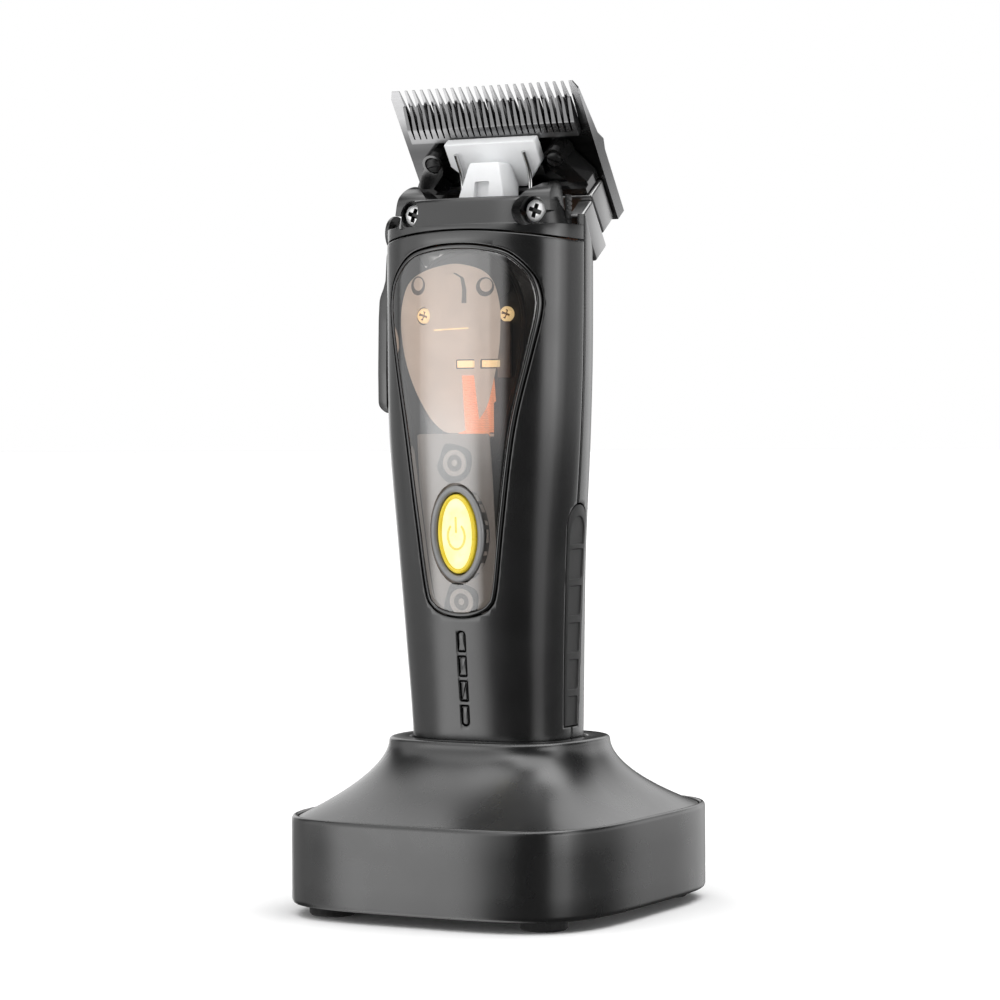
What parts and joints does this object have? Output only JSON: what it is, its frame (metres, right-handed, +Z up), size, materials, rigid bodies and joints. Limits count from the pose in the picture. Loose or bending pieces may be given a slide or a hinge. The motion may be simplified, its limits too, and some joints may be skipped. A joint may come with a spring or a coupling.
{
  "type": "hair clipper in charging stand",
  "caption": "Cordless hair clipper with a slanted toothed blade, a taper lever and a smoked window over its motor, standing upright in a flared charging stand.",
  "frame": {"origin": "on the floor under the middle of the charging stand", "axes": "+Z up; -Y is the front, where the window, button and indicators face; +X is to the right of someone facing the front; the taper lever is on -X"},
  "size_m": [0.0778, 0.0848, 0.1836],
  "materials": {
    "satin_black_plastic": "satin moulded black",
    "gloss_black_plastic": "glossy black",
    "foot_rubber": "matt rubber",
    "grip_rubber": "matt soft-touch rubber",
    "smoked_clear_plastic": "polished, see-through, smoked",
    "light_guide_plastic": "smoked, glossy",
    "tan_plastic": "satin tan",
    "bezel_metal_look": "satin metallic grey",
    "lit_yellow_plastic": "translucent yellow, lit from behind",
    "white_plastic": "smooth white",
    "blade_steel": "ground and brushed",
    "dark_steel": "dark, brushed",
    "satin_aluminium": "satin, bead blasted",
    "bright_steel": "bright plated",
    "black_steel": "black oxide",
    "brass": "polished brass",
    "copper_winding": "enamelled copper wire",
    "green_board": "glass-filled board with green mask",
    "cell_sleeve": "shrink sleeve over a round cell"
  },
  "bodies": {
    "stand": {"stand_ring": "satin_black_plastic", "stand_cover": "satin_black_plastic", "socket_cup": "satin_black_plastic", "base_plate": "satin_black_plastic", "contact_block": "satin_black_plastic", "stand_circuit_board": "green_board", "usb_inlet_shell": "bright_steel", "rubber_foot_1": "foot_rubber", "rubber_foot_2": "foot_rubber", "rubber_foot_3": "foot_rubber", "rubber_foot_4": "foot_rubber", "base_screw_1": "bright_steel", "base_screw_2": "bright_steel", "base_screw_3": "bright_steel", "base_screw_4": "bright_steel"},
    "contact_pin_left": {"contact_pin_left": "brass"},
    "contact_pin_right": {"contact_pin_right": "brass"},
    "clipper": {"front_shell": "satin_black_plastic", "rear_shell": "satin_black_plastic", "head_collar": "satin_black_plastic", "window_lens": "smoked_clear_plastic", "button_bezel": "bezel_metal_look", "indicator_light_guide": "light_guide_plastic", "grip_strip_left": "grip_rubber", "grip_strip_right": "grip_rubber", "collar_screw_left": "bright_steel", "collar_screw_right": "bright_steel", "charge_pad_left": "brass", "charge_pad_right": "brass", "rear_head_cover": "satin_aluminium", "lithium_cell": "cell_sleeve", "main_circuit_board": "green_board", "inner_chassis": "tan_plastic", "chassis_screw_left": "brass", "chassis_screw_right": "brass", "chassis_stud_left": "black_steel", "chassis_stud_right": "black_steel", "coil_terminal_left": "brass", "coil_terminal_right": "brass", "coil_core": "dark_steel", "coil_bobbin": "tan_plastic", "copper_coil": "copper_winding", "motor_frame": "satin_black_plastic", "arm_pivot_pin": "bright_steel"},
    "power_button": {"power_button": "lit_yellow_plastic"},
    "taper_lever": {"taper_lever": "satin_black_plastic", "lever_screw": "black_steel", "lever_cam_shaft": "dark_steel"},
    "blade_carriage": {"fixed_blade": "blade_steel", "blade_mount_plate": "satin_aluminium", "blade_bracket": "gloss_black_plastic", "blade_screw_left": "black_steel", "blade_screw_right": "black_steel", "tension_spring_left": "bright_steel", "tension_spring_right": "bright_steel"},
    "drive_arm": {"drive_arm": "dark_steel", "arm_magnet": "dark_steel"},
    "cutter": {"moving_cutter": "dark_steel", "cutter_follower": "white_plastic"}
  },
  "joints": [
    {"name": "clipper_lift", "type": "slide", "parent": "stand", "child": "clipper", "axis": [0, 0, 1], "range_m": [0, 0.045]},
    {"name": "contact_pin_left_press", "type": "slide", "parent": "stand", "child": "contact_pin_left", "axis": [0, 0, 1], "range_m": [-0.0008, 0], "stiffness_N_per_m": 200},
    {"name": "contact_pin_right_press", "type": "slide", "parent": "stand", "child": "contact_pin_right", "axis": [0, 0, 1], "range_m": [-0.0008, 0], "stiffness_N_per_m": 200},
    {"name": "power_button_press", "type": "slide", "parent": "clipper", "child": "power_button", "axis": [0, 0.9983, 0.0576], "range_m": [0, 0.0005], "stiffness_N_per_m": 800},
    {"name": "taper_lever_swing", "type": "hinge", "parent": "clipper", "child": "taper_lever", "pos_m": [-0.0243, -0.0035, 0.1515], "axis": [-1, 0, 0], "range_deg": [0, 36]},
    {"name": "blade_taper_slide", "type": "slide", "parent": "clipper", "child": "blade_carriage", "axis": [0, 0.5835, -0.8121], "range_m": [0, 0.0019]},
    {"name": "drive_arm_swing", "type": "hinge", "parent": "clipper", "child": "drive_arm", "pos_m": [0, 0, 0.097], "axis": [0, 1, 0], "range_deg": [-1.4, 1.4], "stiffness_Nm_per_rad": 0.15},
    {"name": "cutter_slide", "type": "slide", "parent": "clipper", "child": "cutter", "axis": [1, 0, 0], "range_m": [-0.00151, 0.00151]}
  ],
  "couplings": [
    {"joint": "taper_lever_swing", "follows": "blade_taper_slide", "rad_per_m": 317.41},
    {"joint": "cutter_slide", "follows": "drive_arm_swing", "m_per_rad": 0.06139}
  ]
}
